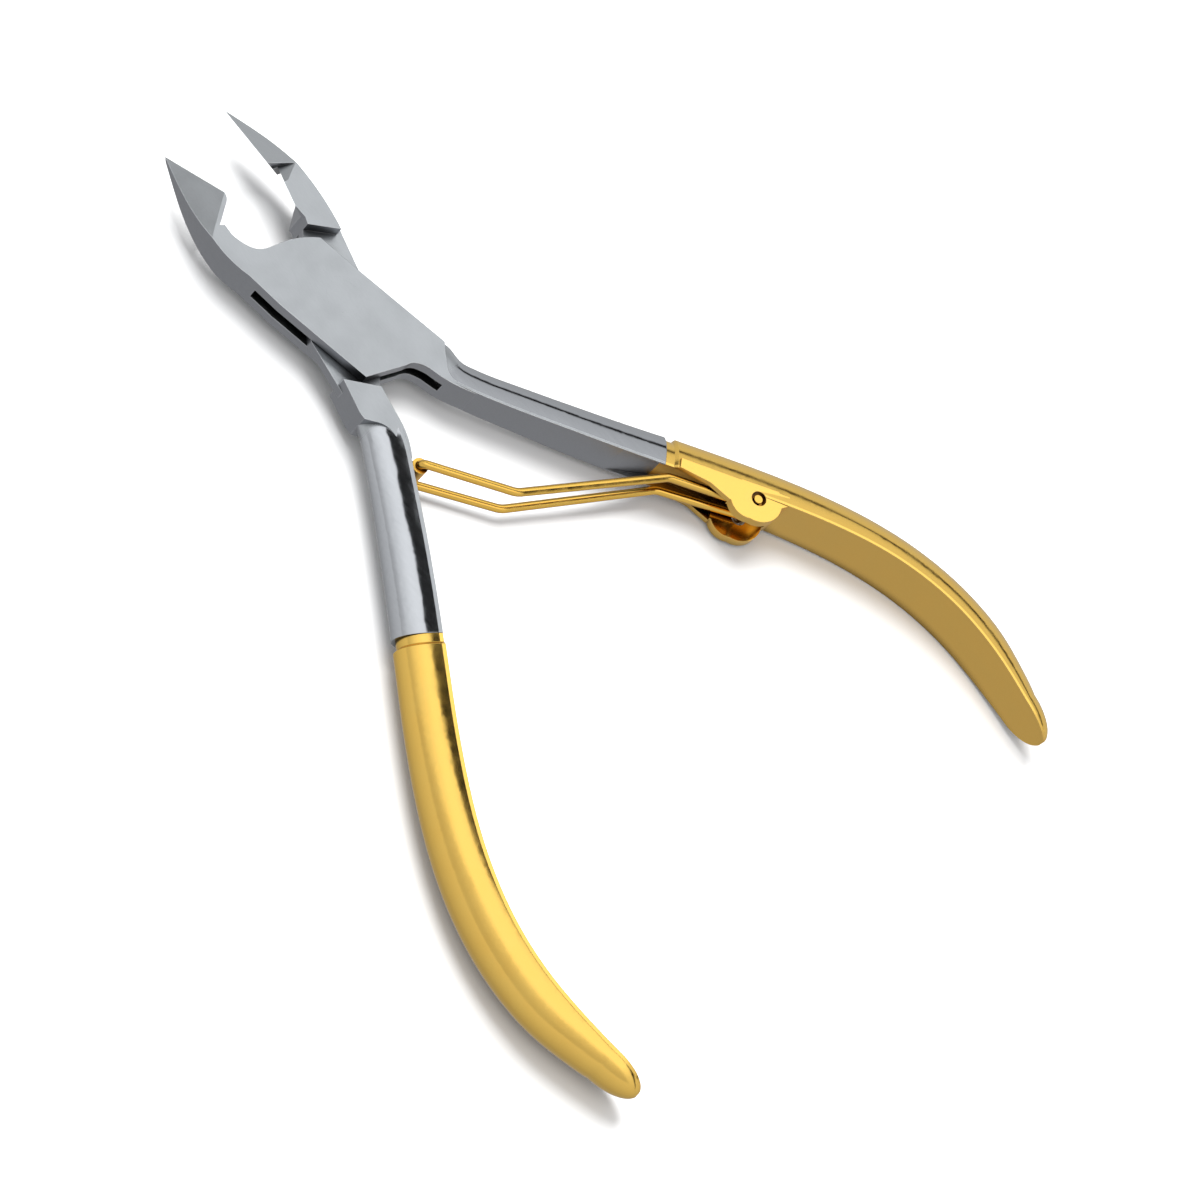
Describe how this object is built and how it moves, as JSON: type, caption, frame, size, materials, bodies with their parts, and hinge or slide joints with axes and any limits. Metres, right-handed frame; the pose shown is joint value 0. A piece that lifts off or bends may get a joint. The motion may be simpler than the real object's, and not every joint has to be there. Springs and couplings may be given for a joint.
{
  "type": "cuticle nipper",
  "caption": "Hand nipper with a box joint, pointed cutting jaws, curved plated handles and a wire return spring that carries a roller.",
  "frame": {"origin": "centre of the pivot where it meets the flat rear face of the box", "axes": "+Z along the pivot from the rear face to the front face, +Y from the pivot towards the jaws, +X towards the handle that carries the spring's ears"},
  "size_m": [0.0807, 0.111, 0.0073],
  "materials": {
    "satin_steel": "fine satin ground stainless steel, polished on the rounded back of one handle",
    "pin_steel": "ground flush with the box",
    "gold_plate": "polished gold plating, satin on the inner flats",
    "gold_wire": "polished gold-plated spring wire"
  },
  "bodies": {
    "box_lever_body": {"box_lever": "satin_steel", "box_grip": "gold_plate", "pivot_pin": "pin_steel"},
    "tongue_lever_body": {"tongue_lever": "satin_steel", "tongue_grip": "gold_plate"},
    "spring_bail": {"spring_legs": "gold_wire"},
    "spring_end": {"spring_cross_wire": "gold_wire"},
    "roller_body": {"spring_roller": "gold_wire"}
  },
  "joints": [
    {"name": "jaw_pivot", "type": "hinge", "parent": "box_lever_body", "child": "tongue_lever_body", "pos_m": [0, 0, 0], "axis": [0, 0, 1], "range_deg": [0, 23.1], "stiffness_Nm_per_rad": 0.3, "springref_deg": -5.73},
    {"name": "spring_ear_hinge", "type": "hinge", "parent": "box_lever_body", "child": "spring_bail", "pos_m": [0.02445, -0.0454, 0], "axis": [0, 0, 1], "range_deg": [-6.2, 0]},
    {"name": "spring_squeeze", "type": "slide", "parent": "spring_bail", "child": "spring_end", "axis": [0.7699, -0.6381, 0], "range_m": [0, 0.00735], "deforming": ["spring_legs"]},
    {"name": "roller_spin", "type": "hinge", "parent": "spring_end", "child": "roller_body", "pos_m": [-0.00645, -0.01979, 0.00205], "axis": [0, 0, 1], "continuous": true}
  ],
  "couplings": [
    {"joint": "spring_ear_hinge", "follows": "jaw_pivot", "ratio": -0.26724},
    {"joint": "spring_squeeze", "follows": "jaw_pivot", "m_per_rad": 0.018141}
  ]
}
